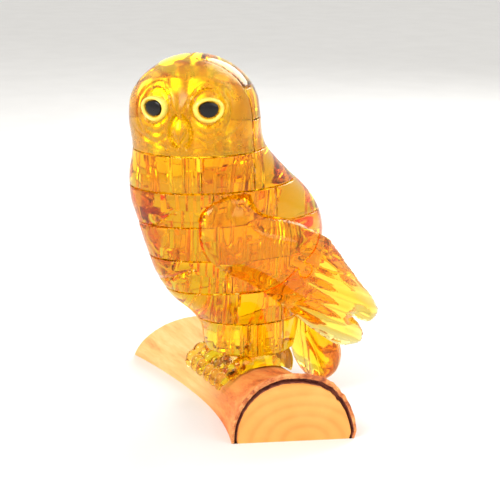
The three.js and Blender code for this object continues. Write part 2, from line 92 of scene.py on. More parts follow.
# The hidden seam faces carry square teeth in two rows, offset by one tooth; SPLIT is where the rows meet.
TOOTH_WIDTH, TOOTH_DEPTH, TOOTH_REACH, TOOTH_SPLIT = 2.1, 0.5, 18, (0.42, 0.6)
WIDE_KNOBS, NARROW_KNOBS = 0.52, 0.36  # knob places as shares of the half width, taken in turns
SIDE_PEG_X = 4
SIDE_PEG_Y = (None, 4, 4, -3, -4)  # on top of each slice, from the thighs up
NECK_PEGS = {"left": (8, -0.6), "right": (-8, -0.6)}

# The head's seams, knobs and pegs are in its own axes, which turn with the face.
FACE_TURN = math.radians(54)
HEAD_CENTRE = (0, -8)
HEAD_RADIUS = 16.4
FACE_SEAM, HEAD_BACK_SEAM = -5, 3.5
FACE_KNOB_X = 6
HEAD_BACK_KNOB_X = (9.5, 11.5)
HEAD_PEGS = {"left": (2.2, -2), "right": (-2.2, -2), "back": (0, 9)}
HEAD_RING_NAMES = (
    {"left": "cheek_left", "right": "cheek_right", "back": "nape"},
    {"left": "temple_left", "right": "temple_right", "back": "occiput"},
)
EYE_HEIGHT, EYE_SPREAD, EYE_REACH = 85.8, math.radians(25), 15.1
EYE_BORE = 2.7
BEAK_FOOT, BEAK_LENGTH, BEAK_REACH = 77.2, 6.4, 15.6
# Along the beak from its point to its root: share of its length, half width, height of its keel.
BEAK_STATIONS = (
    (0, 0.15, 0.5),
    (0.08, 0.6, 1.3),
    (0.3, 1.5, 2.05),
    (0.55, 1.95, 2.2),
    (0.8, 1.45, 1.6),
    (1, 0.4, 0.6),
)

WING_INSIDE = 13
WING_AXIS_Y, WING_AXIS_Z, WING_TILT = 12.3, 44.1, math.radians(-33.5)
WING_BULGE, WING_HALF_LENGTH, WING_HALF_WIDTH = 6, 37, 13.5
WING_SEAM = ((3, 38), (21, 53))  # y and z of two points on the seam between coverts and primaries
WING_GRID_STEP, WING_RIM, WING_TAPER, WING_EDGE_ROUND, WING_THINNEST = 0.36, 2.0, 0.5, 1.2, 0.5
FEATHER_WIDTH, FEATHER_START, FEATHER_RISE, FEATHER_SINK = 3.1, 2, 5, 0.35
FEATHER_FAN, VANE_HEIGHT, SHAFT_HEIGHT, SHAFT_WIDTH = 0.08, 0.55, 0.2, 0.25
WING_PEG_Y, WING_PEG_Z, WING_PEG_RADIUS, WING_PEG_DEPTH = -1.5, 60.5, 1.6, 3.6

TAIL_PEG_X, TAIL_PEG_Z, TAIL_PEG_RADIUS, TAIL_PEG_END = 4, 33.5, 1.4, 16.8
TAIL_TOP = 36.8
FLANK_FRONT, FLANK_TOP = 8, BODY_BASE + 4 * SLICE  # behind and below these the flanks are cut flat

# Sole and heel of the left foot: centre and radii.
FOOT_LUMPS = (((5.8, 5.6, 16.6), (5.1, 9.6, 6.4)), ((5.6, 12.4, 16.0), (4.6, 4.0, 5.2)))
TOES = (2.4, 6, 9.6)
# From knuckle to claw: y, z, radii and downward tilt of each swelling of a toe.
TOE_JOINTS = (
    (0.4, 17.6, (1.75, 3.2, 2.2), 0.2),
    (-3.0, 16.4, (1.75, 2.4, 2.1), 0.4),
    (-5.4, 14.9, (1.6, 1.9, 1.8), 0.7),
    (-6.6, 13.4, (0.9, 0.9, 1.5), 0.3),
)

LOG_FAR, LOG_NEAR, LOG_FRONT, LOG_BACK, LOG_BOTTOM, LOG_HEIGHT = -44, 33.3, -5.7, 18.3, 5, 10.9
LOG_AXIS_Y = (LOG_FRONT + LOG_BACK) / 2
LOG_FAR_LEAN, LOG_NEAR_TURN = 0.8, 0.33
# The log's spread and rise grow with the square of the distance from its waist.
LOG_WAIST_X, LOG_FAR_SPREAD, LOG_NEAR_SPREAD, LOG_ROUNDNESS = -3, (0.0022, 0.001), (0.0039, 0.0051), 2.1

rod_low, rod_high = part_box("centre_rod")
rod_middle = [(low + high) / 2 for low, high in zip(rod_low, rod_high)]
ORIGIN = Vector((rod_middle[0], rod_middle[1] - ROD_Y * MM, -LOG_BOTTOM * MM))


# ---------------- meshes and cuts
def mesh_object(name, points, faces):
    mesh = bpy.data.meshes.new(name)
    mesh.from_pydata(np.asarray(points, float).tolist(), [], faces)
    mesh.update()
    obj = bpy.data.objects.new(name, mesh)
    scene.collection.objects.link(obj)
    return obj


def discard(*objects):
    for obj in objects:
        mesh = obj.data
        bpy.data.objects.remove(obj)
        bpy.data.meshes.remove(mesh)


def bake_modifiers(obj):
    """Replaces the object's mesh by what its modifiers make of it."""
    graph = bpy.context.evaluated_depsgraph_get()
    made = bpy.data.meshes.new_from_object(obj.evaluated_get(graph))
    old = obj.data
    obj.modifiers.clear()
    obj.data = made
    bpy.data.meshes.remove(old)


def combine(obj, tool, operation, keep_tool=False):
    """Cuts obj by tool, joins them, or keeps what they share."""
    modifier = obj.modifiers.new("combine", "BOOLEAN")
    modifier.operation = operation
    modifier.solver = "MANIFOLD"
    modifier.object = tool
    bake_modifiers(obj)
    if not keep_tool:
        discard(tool)
    return obj


def share_of(form, tool):
    """A copy of the form, cut to what lies inside the tool."""
    piece = bpy.data.objects.new("share", form.data.copy())
    scene.collection.objects.link(piece)
    return combine(piece, tool, "INTERSECT")


def full_turn(count):
    """Evenly spaced angles all the way round."""
    return np.linspace(0, 2 * math.pi, count, endpoint=False)


def level_row(x, y, z):
    return np.column_stack([x, y, np.full(len(x), z)])


def loft(name, rows):
    """A closed skin through rows of points: each row is a loop, counter-clockwise seen from the last row."""
    count = len(rows[0])
    faces = []
    for row in range(len(rows) - 1):
        low = row * count
        high = low + count
        for column in range(count):
            following = (column + 1) % count
            faces.append((low + column, low + following, high + following, high + column))
    faces.append(tuple(range(count - 1, -1, -1)))
    last = (len(rows) - 1) * count
    faces.append(tuple(range(last, last + count)))
    return mesh_object(name, np.concatenate(rows), faces)


def rectangle(x0, x1, y0, y1):
    return [(x0, y0), (x1, y0), (x1, y1), (x0, y1)]


def prism(outline, low, high):
    """A prism in Z over a counter-clockwise outline in XY."""
    x, y = np.asarray(outline, float).T
    return loft("prism", [level_row(x, y, z) for z in (low, high)])


def side_prism(outline, low, high):
    """A prism in X over a counter-clockwise outline in YZ."""
    flat = np.asarray(outline, float)
    rows = [np.column_stack([np.full(len(flat), x), flat]) for x in (low, high)]
    return loft("side_prism", rows)


def lathe(start, end, profile, sides=40, squash=(1, 1)):
    """A turned form along start to end: profile rows are (radius, distance from start)."""
    start, end = Vector(start), Vector(end)
    axis = (end - start).normalized()
    side = Vector((0, 0, 1)).cross(axis)
    side = side.normalized() if side.length > 1e-6 else Vector((1, 0, 0))
    up = axis.cross(side)
    turns = full_turn(sides)
    rise = np.sin(turns)
    rise = np.where(rise > 0, rise * squash[0], rise * squash[1])
    rows = []
    for radius, distance in profile:
        centre = np.array(start + axis * distance)
        rows.append(centre + radius * (np.outer(np.cos(turns), side) + np.outer(rise, up)))
    return loft("lathe", rows)


def bar(start, end, radius, chamfer=0.0):
    """A round pin with a chamfer at its far end."""
    length = (Vector(end) - Vector(start)).length
    profile = [(radius, 0), (radius, length - chamfer), (radius - chamfer, length)]
    return lathe(start, end, profile if chamfer else profile[:2])


def side_span(sign, near, far):
    return (near, far) if sign > 0 else (-far, -near)


def to_frame(obj):
    """Moves a finished piece from the owl's millimetres to the frame's metres and marks its crisp edges."""
    obj.data.transform(Matrix.Translation(ORIGIN) @ Matrix.Scale(MM, 4))
    obj.data.shade_smooth()
    obj.data.set_sharp_from_angle(angle=math.radians(CREASE))
    return obj


# ---------------- curves and relief
def smooth_curve(stations):
    """Hermite interpolation through rows of (position, value, ...): gives the values at a position."""
    table = np.array(stations, float)
    knots, values = table[:, 0], table[:, 1:]
    slopes = np.gradient(values, knots, axis=0)

    def at(position):
        position = np.clip(position, knots[0], knots[-1])
        k = int(np.clip(np.searchsorted(knots, position) - 1, 0, len(knots) - 2))
        step = knots[k + 1] - knots[k]
        t = (position - knots[k]) / step
        start = (1 + 2 * t) * (1 - t) ** 2 * values[k] + t * (1 - t) ** 2 * step * slopes[k]
        end = t * t * (3 - 2 * t) * values[k + 1] + t * t * (t - 1) * step * slopes[k + 1]
        return start + end

    return at


def smooth_line(corners, steps=12):
    """Points along a Catmull-Rom curve through the corners."""
    corners = np.asarray(corners, float)
    padded = np.vstack([2 * corners[0] - corners[1], corners, 2 * corners[-1] - corners[-2]])
    line = []
    for k in range(len(padded) - 3):
        a, b, c, d = padded[k : k + 4]
        for t in np.linspace(0, 1, steps, endpoint=False):
            square = 2 * a - 5 * b + 4 * c - d
            cube = 3 * b - a - 3 * c + d
            line.append(0.5 * (2 * b + (c - a) * t + square * t**2 + cube * t**3))
    line.append(padded[-2])
    return np.array(line)


def distance_to(line, u, v, closed=False):
    """Distance from each point (u, v) to a polyline."""
    line = np.asarray(line, float)
    ends = np.roll(line, -1, axis=0) if closed else line[1:]
    starts = line if closed else line[:-1]
    best = np.full(np.shape(u), 1e9)
    for (au, av), (bu, bv) in zip(starts, ends):
        du, dv = bu - au, bv - av
        t = np.clip(((u - au) * du + (v - av) * dv) / (du * du + dv * dv + 1e-12), 0, 1)
        best = np.minimum(best, np.hypot(u - au - t * du, v - av - t * dv))
    return best


def ridge(distance, width):
    return np.exp(-((distance / width) ** 2))


def smoothstep(low, high, value):
    t = np.clip((value - low) / (high - low), 0, 1)
    return t * t * (3 - 2 * t)


def edge_inset(distance, radius=EDGE_ROUND):
    """How far a skin draws in beside an edge, so that the edge is rounded to this radius."""
    near = np.clip(1 - np.maximum(distance, 0) / radius, 0, 1)
    return radius * (1 - np.sqrt(1 - near**2))


def ripple(u, v, seed):
    """Smooth seeded unevenness between about -1 and 1."""
    terms = 6
    random = np.random.default_rng(seed)
    total = np.zeros(np.broadcast(u, v).shape)
    for _ in range(terms):
        a, b = random.normal(0, 1, 2)
        total += np.sin(a * u + b * v + random.uniform(0, 2 * math.pi))
    return total / terms


def edge_rows(low, high, step):
    """Heights between two edges, closer together where the edges are rounded."""
    corner = EDGE_ROUND * (1 - np.cos(np.radians([0, 25, 50, 70])))
    inner = np.linspace(low + EDGE_ROUND, high - EDGE_ROUND, max(2, round((high - low) / step)))
    return np.concatenate([low + corner, inner, high - corner[::-1]])


body_curve = smooth_curve(BODY_STATIONS)


def body_section(z):
    """Foremost y, rearmost y, half depth and half width of the body at a height."""
    front, back, half_width = body_curve(z)
    rise = np.clip((z - DOME_BASE) / (HEIGHT - DOME_BASE), 0, 1)
    dome = math.sqrt(1 - rise**2)
    return front, back, dome * (back - front) / 2, dome * half_width


def body_oval(z, turns):
    """The body's outline at a height, as x and y at each angle."""
    front, back, half_depth, half_width = body_section(z)
    return half_width * np.cos(turns), (front + back) / 2 + half_depth * np.sin(turns)


def skin_row(z, turns, oval, out):
    """An oval's points at one height, each moved outwards by out."""
    x, y = oval
    return level_row(x + out * np.cos(turns), y + out * np.sin(turns), z)


# ---------------- jigsaw outlines
def toothed_run(y, x0, x1, edge, phase):
    """A straight run of a seam from x0 to x1 with small square teeth, set off from its neighbour by edge."""
    if phase is None:
        return []
    run = []
    first = math.ceil(max(x0, -TOOTH_REACH) / TOOTH_WIDTH)
    last = math.floor(min(x1, TOOTH_REACH) / TOOTH_WIDTH)
    for tooth in range(first, last + 1):
        up = 1 if (tooth + phase) % 2 else -1
        x = tooth * TOOTH_WIDTH - edge * up
        if x0 + TOOTH_WIDTH / 2 < x < x1 - TOOTH_WIDTH / 2:
            before, after = (y + edge - up * TOOTH_DEPTH / 2, y + edge + up * TOOTH_DEPTH / 2)
            run += [(x, before), (x, after)]
    return run


def seam_line(y, x0, x1, knobs, edge, phase=None):
    """An edge along X from x0 to x1, offset from the seam at y, that goes round each knob or socket.

    knobs are (x, direction, grow): direction is +1 towards +Y, and grow is positive for a socket."""
    line = [(x0, y + edge)]
    reached = x0
    for x, direction, grow in sorted(knobs):
        radius = KNOB_RADIUS + grow
        opening = math.asin((KNOB_NECK / 2 + grow) / radius)
        centre = KNOB_REACH - KNOB_RADIUS
        neck = KNOB_NECK / 2 + grow
        line += toothed_run(y, reached, x - neck, edge, phase)
        line.append((x - neck, y + edge))
        for turn in np.linspace(-math.pi / 2 - opening, opening - 5 * math.pi / 2, 26):
            along = radius * math.cos(turn)
            outward = centre + radius * math.sin(turn)
            line.append((x + along, y + direction * outward))
        line.append((x + neck, y + edge))
        reached = x + neck
    line += toothed_run(y, reached, x1, edge, phase)
    line.append((x1, y + edge))
    return line


def cell_outlines(front_seam, back_seam, front_knobs, back_knobs, sides_own, phase=None):
    """Outlines of a ring's four cells. Knobs are (x, direction); the side cells own them if sides_own."""

    def knobs(places, grow, low=-FAR, high=FAR):
        return [(x, direction, grow) for x, direction in places if low < x < high]

    grow = -HALF_GAP if sides_own else HALF_GAP
    outlines = {
        "front": [(-FAR, -FAR), (FAR, -FAR)]
        + seam_line(front_seam, -FAR, FAR, knobs(front_knobs, -grow), -HALF_GAP, phase)[::-1],
        "back": seam_line(back_seam, -FAR, FAR, knobs(back_knobs, -grow), HALF_GAP, phase)
        + [(FAR, FAR), (-FAR, FAR)],
    }
    for side, sign in SIDES:
        x0, x1 = side_span(sign, HALF_GAP, FAR)
        outlines[side] = (
            seam_line(front_seam, x0, x1, knobs(front_knobs, grow, x0, x1), HALF_GAP, phase)
            + seam_line(back_seam, x0, x1, knobs(back_knobs, grow, x0, x1), -HALF_GAP, phase)[::-1]
        )
    return outlines


def add_peg(piece, place, z):
    combine(piece, bar((*place, z - 1), (*place, z + PEG_HEIGHT), PEG_RADIUS, 0.35), "UNION")


def cut_socket(piece, place, z):
    combine(piece, bar((*place, z - 1), (*place, z + PEG_HEIGHT + GAP), PEG_RADIUS + GAP), "DIFFERENCE")


def rod_hole():
    return bar((0, ROD_Y, -1), (0, ROD_Y, ROD_TOP + GAP), ROD_RADIUS + GAP)


# ---------------- materials
class Surface:
    """A material in the making: its nodes, its links and the sockets of its shader."""

    def __init__(self, name):
        self.material = bpy.data.materials.new(name)
        self.material.use_nodes = True
        self.nodes = self.material.node_tree.nodes
        self.links = self.material.node_tree.links
        self.shader = self.nodes["Principled BSDF"].inputs

    def fill(self, inputs, sockets):
        """Links each named socket to the output given for it, or sets it to the value given."""
        for name, value in sockets.items():
            if isinstance(value, bpy.types.NodeSocket):
                self.links.new(value, inputs[name])
            else:
                inputs[name].default_value = value

    def add(self, kind, sockets, **settings):
        """A new node with its settings made and its sockets filled."""
        node = self.nodes.new(kind)
        for name, value in settings.items():
            setattr(node, name, value)
        self.fill(node.inputs, sockets)
        return node

    def place(self):
        """Coordinates of the piece itself, in metres."""
        return self.add("ShaderNodeTexCoord", {}).outputs["Object"]

    def noise(self, scale, detail=3.0, stretch=(1, 1, 1)):
        """Noise in the piece's own coordinates, scale per metre."""
        mapping = self.add("ShaderNodeMapping", {"Vector": self.place(), "Scale": stretch})
        sockets = {"Vector": mapping.outputs["Vector"], "Scale": scale, "Detail": detail}
        return self.add("ShaderNodeTexNoise", sockets).outputs["Fac"]

    def ramp(self, value, *stops):
        """A colour for each value; stops are (position, colour)."""
        node = self.add("ShaderNodeValToRGB", {"Fac": value})
        elements = node.color_ramp.elements
        while len(elements) < len(stops):
            elements.new(0.5)
        for element, (position, colour) in zip(elements, stops):
            element.position = position
            element.color = (*colour, 1)
        return node.outputs["Color"]

    def spread(self, value, low, high):
        """Maps 0.3..0.7, the useful part of a noise, to low..high."""
        sockets = {"Value": value, "From Min": 0.3, "From Max": 0.7, "To Min": low, "To Max": high}
        return self.add("ShaderNodeMapRange", sockets).outputs["Result"]

    def blend(self, factor, low, high):
        sockets = {"Factor": factor, "A": low, "B": high}
        return self.add("ShaderNodeMix", sockets, data_type="RGBA").outputs["Result"]

    def finish(self, colour, haze, roughness, height, strength, distance):
        """Gives the shader its colour, a roughness that follows haze and a bump that follows height."""
        bump = self.add("ShaderNodeBump", {"Height": height, "Strength": strength, "Distance": distance})
        self.fill(self.shader, {
            "Base Color": colour,
            "Roughness": self.spread(haze, *roughness),
            "Normal": bump.outputs["Normal"],
        })
        return self.material


def amber_material(name, roughness, absorption, density):
    """Clear moulded plastic: yellow where thin, orange where thick, with faint flow marks and haze."""
    surface = Surface(name)
    tint = surface.ramp(surface.noise(60, 2), (0.3, (1.0, 0.93, 0.48)), (0.7, (1.0, 0.96, 0.60)))
    haze = surface.noise(240, 4)
    flow = surface.noise(420, 2, (1, 1, 0.45))
    surface.fill(surface.shader, {
        "Transmission Weight": 1.0,
        "IOR": 1.5,
        "Specular Tint": (1.0, 0.86, 0.52, 1),
    })
    depth = surface.add("ShaderNodeVolumeAbsorption", {"Color": (*absorption, 1), "Density": density})
    surface.links.new(depth.outputs["Volume"], surface.nodes["Material Output"].inputs["Volume"])
    return surface.finish(tint, haze, roughness, flow, 0.12, 0.00025)


def mottled_surface(name, scale, stops, roughness):
    """A surface whose colour and roughness follow one noise."""
    surface = Surface(name)
    noise = surface.noise(scale)
    surface.fill(surface.shader, {
        "Base Color": surface.ramp(noise, *stops),
        "Roughness": surface.spread(noise, *roughness),
    })
    return surface


def eye_ring_material():
    """The rim of an eye: pale yellow and only a little clear."""
    stops = ((0.3, (0.93, 0.62, 0.07)), (0.7, (0.98, 0.76, 0.15)))
    surface = mottled_surface("eye_yellow", 700, stops, (0.12, 0.25))
    surface.fill(surface.shader, {"Subsurface Weight": 0.3, "Subsurface Radius": (0.001, 0.0006, 0.0002)})
    return surface.material


def pupil_material():
    stops = ((0.3, (0.004, 0.004, 0.004)), (0.7, (0.010, 0.009, 0.008)))
    surface = mottled_surface("pupil_black", 900, stops, (0.16, 0.28))
    surface.fill(surface.shader, {"Specular IOR Level": 0.3})
    return surface.material


def wood_grain(surface, stretch, scale, dark, mid, light):
    """Stretched noise over a finer one, and its colour from dark growth lines to pale wood."""
    coarse = surface.noise(scale, 5, stretch)
    fine = surface.noise(scale * 6, 3, stretch)
    mixed = surface.add("ShaderNodeMath", {0: fine, 1: 0.35, 2: coarse}, operation="MULTIPLY_ADD")
    height = mixed.outputs["Value"]
    return height, surface.ramp(height, (0.42, dark), (0.6, mid), (0.85, light))


def grained_material(name, stretch, scale, colours, roughness, strength, distance):
    """Wood or bark of one grain; colours are its dark, middle and light tones."""
    surface = Surface(name)
    height, colour = wood_grain(surface, stretch, scale, *colours)
    return surface.finish(colour, height, roughness, height, strength, distance)


def side_wood_material():
    """Peeled side of the log: pale maple with lengthwise grain, reddening towards the near end."""
    surface = Surface("log_side")
    stretch = (0.09, 1, 1)
    height, pale = wood_grain(
        surface, stretch, 420, (0.74, 0.31, 0.08), (0.89, 0.48, 0.15), (0.94, 0.60, 0.24)
    )
    _, red = wood_grain(surface, stretch, 360, (0.45, 0.09, 0.012), (0.82, 0.19, 0.03), (0.92, 0.34, 0.07))
    along = surface.add("ShaderNodeSeparateXYZ", {"Vector": surface.place()}).outputs["X"]
    sockets = {"Value": along, "From Min": -12 * MM + ORIGIN.x, "From Max": 18 * MM + ORIGIN.x}
    near = surface.add("ShaderNodeMapRange", sockets, interpolation_type="SMOOTHSTEP").outputs["Result"]
    return surface.finish(surface.blend(near, pale, red), height, (0.45, 0.7), height, 0.5, 0.0006)


def end_wood_material():
    """Sawn end of the log: growth rings round a heart low in the disc, with patches of warmer wood."""
    surface = Surface("log_end")
    heart = (ORIGIN.x, ORIGIN.y + LOG_AXIS_Y * MM, -1 * MM)
    to_heart = {"Vector": surface.place(), "Location": [-value for value in heart], "Scale": (0, 1, 1.25)}
    mapping = surface.add("ShaderNodeMapping", to_heart)
    rings = surface.add("ShaderNodeTexWave", {
        "Vector": mapping.outputs["Vector"],
        "Scale": 95,
        "Distortion": 1.6,
        "Detail": 3,
        "Detail Scale": 0.6,
    }, wave_type="RINGS", rings_direction="SPHERICAL").outputs["Fac"]
    patches = surface.noise(130, 4)
    ringed = surface.ramp(
        rings, (0.0, (0.86, 0.30, 0.05)), (0.35, (0.91, 0.37, 0.07)), (1, (0.93, 0.41, 0.08))
    )
    warm = surface.ramp(patches, (0.35, (0.88, 0.32, 0.055)), (0.7, (0.93, 0.44, 0.11)))
    return surface.finish(surface.blend(patches, ringed, warm), patches, (0.4, 0.62), rings, 0.25, 0.0004)


CLEAR, FROSTED = (0.015, 0.07), (0.2, 0.3)  # roughness of the plastic
BODY_TINT, FEATHER_TINT = (0.999, 0.912, 0.167), (0.999, 0.86, 0.12)
AMBER = amber_material("clear_amber", CLEAR, BODY_TINT, 300)
# Finely frosted and paler, which half hides what lies behind the face.
SATIN_AMBER = amber_material("satin_amber", FROSTED, BODY_TINT, 170)
# A little deeper, so that the thin tips of the flight feathers stay golden.
FEATHER_AMBER = amber_material("feather_amber", CLEAR, FEATHER_TINT, 480)
EYE_YELLOW = eye_ring_material()
PUPIL_BLACK = pupil_material()


def paint(obj, kinds, *materials):
    """Gives the mesh its materials; kinds is the index of each face's material, or one index for all."""
    obj.data.materials.clear()
    for item in materials:
        obj.data.materials.append(item)
    places = np.broadcast_to(kinds, len(obj.data.polygons))
    obj.data.polygons.foreach_set("material_index", places.tolist())


def show(obj, name, body, slot, *materials):
    """Puts a finished piece in place of its CAD node, on that node's body."""
    to_frame(obj)
    obj.name = f"{name}_fine"
    obj.data.name = obj.name
    kinds = [polygon.material_index for polygon in obj.data.polygons]
    paint(obj, kinds if len(materials) > 1 else 0, *materials)
    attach(obj, body)
    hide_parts(name)


def show_amber(obj, name, body, surface=AMBER):
    show(obj, name, body, "amber_plastic", surface)


# ---------------- body slices
COLUMNS = full_turn(220)
# Curved lines across the front: height at the flanks, how far the middle hangs below, half width.
BREAST_MARKS, BREAST_MARK_DEPTH = ((60.5, 5.5, 11), (45, 4, 10)), 0.7


def breast_marks(x, y, z):
    """Depth of the curved lines moulded across the breast and belly."""
    depth = 0
    for middle, drop, half in BREAST_MARKS:
        line = middle - drop * (1 - (x / half) ** 2)
        depth = depth + BREAST_MARK_DEPTH * ridge(z - line, 0.4) * (np.abs(x) < half) * (y < 0)
    return depth


def slice_form(level):
    """The flesh of one slice between its flat faces, with rounded edges along every seam."""
    low = BODY_BASE + SLICE * level + HALF_GAP
    high = low + SLICE - GAP
    middle = (low + high) / 2
    front, back, _, _ = body_section(middle)
    seams = (front + FRONT_SHARE * (back - front), back - BACK_SHARE * (back - front))
    rows = []
    for z in edge_rows(low, high, 0.6):
        x, y = body_oval(z, COLUMNS)
        inset = edge_inset(min(z - low, high - z))
        for seam in seams:
            inset = np.maximum(inset, edge_inset(np.abs(y - seam) - HALF_GAP))
        swell = SLICE_SWELL * (1 - ((z - middle) / (SLICE / 2)) ** 2)
        out = swell - inset - breast_marks(x, y, z) + 0.05 * ripple(x * 0.5, z * 0.5, level)
        rows.append(skin_row(z, COLUMNS, (x, y), out))
    return loft("slice", rows), seams


def peg_places(level):
    front, back, _, _ = body_section(BODY_BASE + SLICE * (level + 1))
    inset = PEG_INSET * (back - front)
    places = {"front": (0, front + inset), "back": (0, back - inset)}
    if SIDE_PEG_Y[level] is not None:
        for side, sign in SIDES:
            places[side] = (sign * SIDE_PEG_X, SIDE_PEG_Y[level])
    return places


def wing_outline(grow=0.0):
    """Outline of a folded wing in YZ, counter-clockwise: shoulder, flight edge and two feather tips."""
    g = grow
    shoulder = [
        (-0.6, 64 + g), (-6.5, 64 + g), (-11.6 - g, 61), (-12.9 - g, 56.5), (-12 - g, 50.5),
        (-8 - g, 45.5 - g), (0, 41 - g), (10, 33.5 - g), (18, 26.5 - g),
    ]
    lower_tip = [(18, 26.5 - g), (25, 21.5 - g), (31, 20.6 - g), (33 + g, 22.8), (31.5 + g, 26.3)]
    upper_tip = [
        (29.6 + g, 28.4), (34, 26.4 - g), (37 + g, 28),
        (36 + g, 32 + g), (30.5 + g, 39 + g), (22.5 + g, 50 + g),
    ]
    nape = [(22.5 + g, 50 + g), (13, 55.4 + g), (5, 57.8 + g), (1.2, 60.4 + g), (-0.6, 64 + g)]
    parts = [smooth_line(part)[:-1] for part in (shoulder, lower_tip)]
    parts.append(np.array([(31.5 + g, 26.3)]))
    parts += [smooth_line(part)[:-1] for part in (upper_tip, nape)]
    return np.vstack(parts)


def wing_recess(sign):
    return side_prism(wing_outline(GAP), *side_span(sign, WING_INSIDE, FAR))


def wing_peg(sign, grow):
    inner = WING_INSIDE - WING_PEG_DEPTH - (GAP if grow else 0)
    outer = FAR if grow else WING_INSIDE + 2
    place = (WING_PEG_Y, WING_PEG_Z)
    return bar((sign * outer, *place), (sign * inner, *place), WING_PEG_RADIUS + grow, 0 if grow else 0.3)


def tail_peg(sign, grow):
    end = TAIL_PEG_END - (GAP if grow else 0)
    root = FAR if grow else 24
    x = sign * TAIL_PEG_X
    return bar((x, root, TAIL_PEG_Z), (x, end, TAIL_PEG_Z), TAIL_PEG_RADIUS + grow, 0 if grow else 0.3)


def flank_block(sign):
    x0, x1 = side_span(sign, WING_INSIDE, FAR)
    return prism(rectangle(x0, x1, FLANK_FRONT, FAR), 0, FLANK_TOP)


def make_body():
    recesses = [make(sign) for _, sign in SIDES for make in (wing_recess, flank_block)]
    sockets = [make(sign, GAP) for _, sign in SIDES for make in (wing_peg, tail_peg)]
    hole = rod_hole()
    for level, name in enumerate(SLICE_NAMES):
        flesh, seams = slice_form(level)
        for tool in (hole, *recesses, *sockets):
            combine(flesh, tool, "DIFFERENCE", keep_tool=True)
        half_width = body_section(BODY_BASE + SLICE * (level + 0.5))[3]
        wide = half_width * WIDE_KNOBS
        narrow = half_width * NARROW_KNOBS
        flip = level % 2 == 1
        front_x, back_x = (narrow, wide) if flip else (wide, narrow)
        front_knobs = [(sign * front_x, -1 if flip else 1) for _, sign in SIDES]
        back_knobs = [(sign * back_x, 1 if flip else -1) for _, sign in SIDES]
        low_cells, high_cells = (
            cell_outlines(*seams, front_knobs, back_knobs, flip, phase) for phase in (level, level + 1)
        )
        low = BODY_BASE + SLICE * level
        middle = low + SLICE * TOOTH_SPLIT[level % len(TOOTH_SPLIT)]
        above = peg_places(level) if level < len(SLICE_NAMES) - 1 else NECK_PEGS
        below = peg_places(level - 1) if level > 0 else {}
        for part in low_cells:
            cell = prism(low_cells[part], low - 1, middle)
            combine(cell, prism(high_cells[part], middle - 0.01, low + SLICE + 1), "UNION")
            piece = share_of(flesh, cell)
            if part in below:
                cut_socket(piece, below[part], low)
            if part in above:
                add_peg(piece, above[part], low + SLICE)
            show_amber(piece, f"{name}_{part}", f"{name}_slice")
        discard(flesh)
    discard(hole, *recesses, *sockets)


# ---------------- head
def on_head(points):
    """From the head's own axes (face towards -Y) to the owl's."""
    points = np.asarray(points, float)
    cos, sin = math.cos(FACE_TURN), math.sin(FACE_TURN)
    x = points[:, 0] * cos - points[:, 1] * sin + HEAD_CENTRE[0]
    y = points[:, 0] * sin + points[:, 1] * cos + HEAD_CENTRE[1]
    return np.column_stack([x, y])


def head_columns():
    """Angles from the middle of the face, close together across it and wider apart behind."""
    face = np.radians(np.arange(-84, 84, 1.2))
    behind = np.radians(np.arange(84, 276, 3))
    return np.concatenate([face, behind])


# Lines of the face as (arc from its middle, height); each cut line starts with its depth and width.
BROW = ((1.0, 84.6), (2.4, 88.2), (5.4, 90.6), (9.5, 91.2), (13.0, 89.6))
FACE_LINES = (
    (0.34, 0.28, ((2.9, 86.6), (4.2, 89.0), (7.2, 90.2), (10.3, 89.2), (11.7, 86.4))),
    (0.34, 0.28, ((2.6, 88.2), (4.6, 90.3), (7.4, 91.4), (10.8, 90.4), (12.6, 88.0))),
    (0.34, 0.28, ((1.1, 84.6), (2.3, 87.2), (3.9, 90.0))),
    (1.0, 0.36, ((0.7, 84.0), (2.1, 82.2), (2.7, 80.0), (2.2, 77.8), (0.9, 76.4))),
    (0.26, 0.35, ((12.2, 90.0), (13.4, 86.8), (13.0, 83.0), (11.0, 79.6))),
    (0.26, 0.35, ((4.4, 80.6), (6.4, 79.4), (9.6, 80.2))),
    (0.26, 0.35, ((4.0, 78.8), (6.6, 77.4), (10.2, 78.4))),
)


def face_relief(s, z):
    """Height of the face over the plain head; s is the arc from the middle of the face."""
    a = np.abs(s)
    eye = np.hypot(a - EYE_SPREAD * HEAD_RADIUS, z - EYE_HEIGHT)
    brow = 0.45 * ridge(distance_to(smooth_line(BROW, 6), a, z), 1.5)
    eye_hollow = 0.5 * ridge(eye, 4.8)
    ring_groove = 0.45 * ridge(eye - 4.15, 0.3)
    height = brow - eye_hollow - ring_groove
    for depth, width, corners in FACE_LINES:
        height -= depth * ridge(distance_to(smooth_line(corners, 6), a, z), width)
    collar = 0.3 * ridge(z - 75.8 - 0.02 * a**2, 0.3)
    return height - collar * smoothstep(18, 12, a) * smoothstep(2.4, 4.0, a)


def head_heights(low, high, closed_top, step):
    """Heights of the head's rows; under a closed top they crowd together towards the crown."""
    if not closed_top:
        return edge_rows(low, high, step)
    sweep = np.radians(np.linspace(0, 89.5, round(DOME_PROFILE / step)))
    dome = DOME_BASE + (HEIGHT - DOME_BASE) * np.sin(sweep)
    above = low + 1
    start = edge_rows(low, max(DOME_BASE, above) + EDGE_ROUND, step)
    start = start[start < max(DOME_BASE, above)]
    return np.concatenate([start, dome[dome > start[-1] + 0.05]])


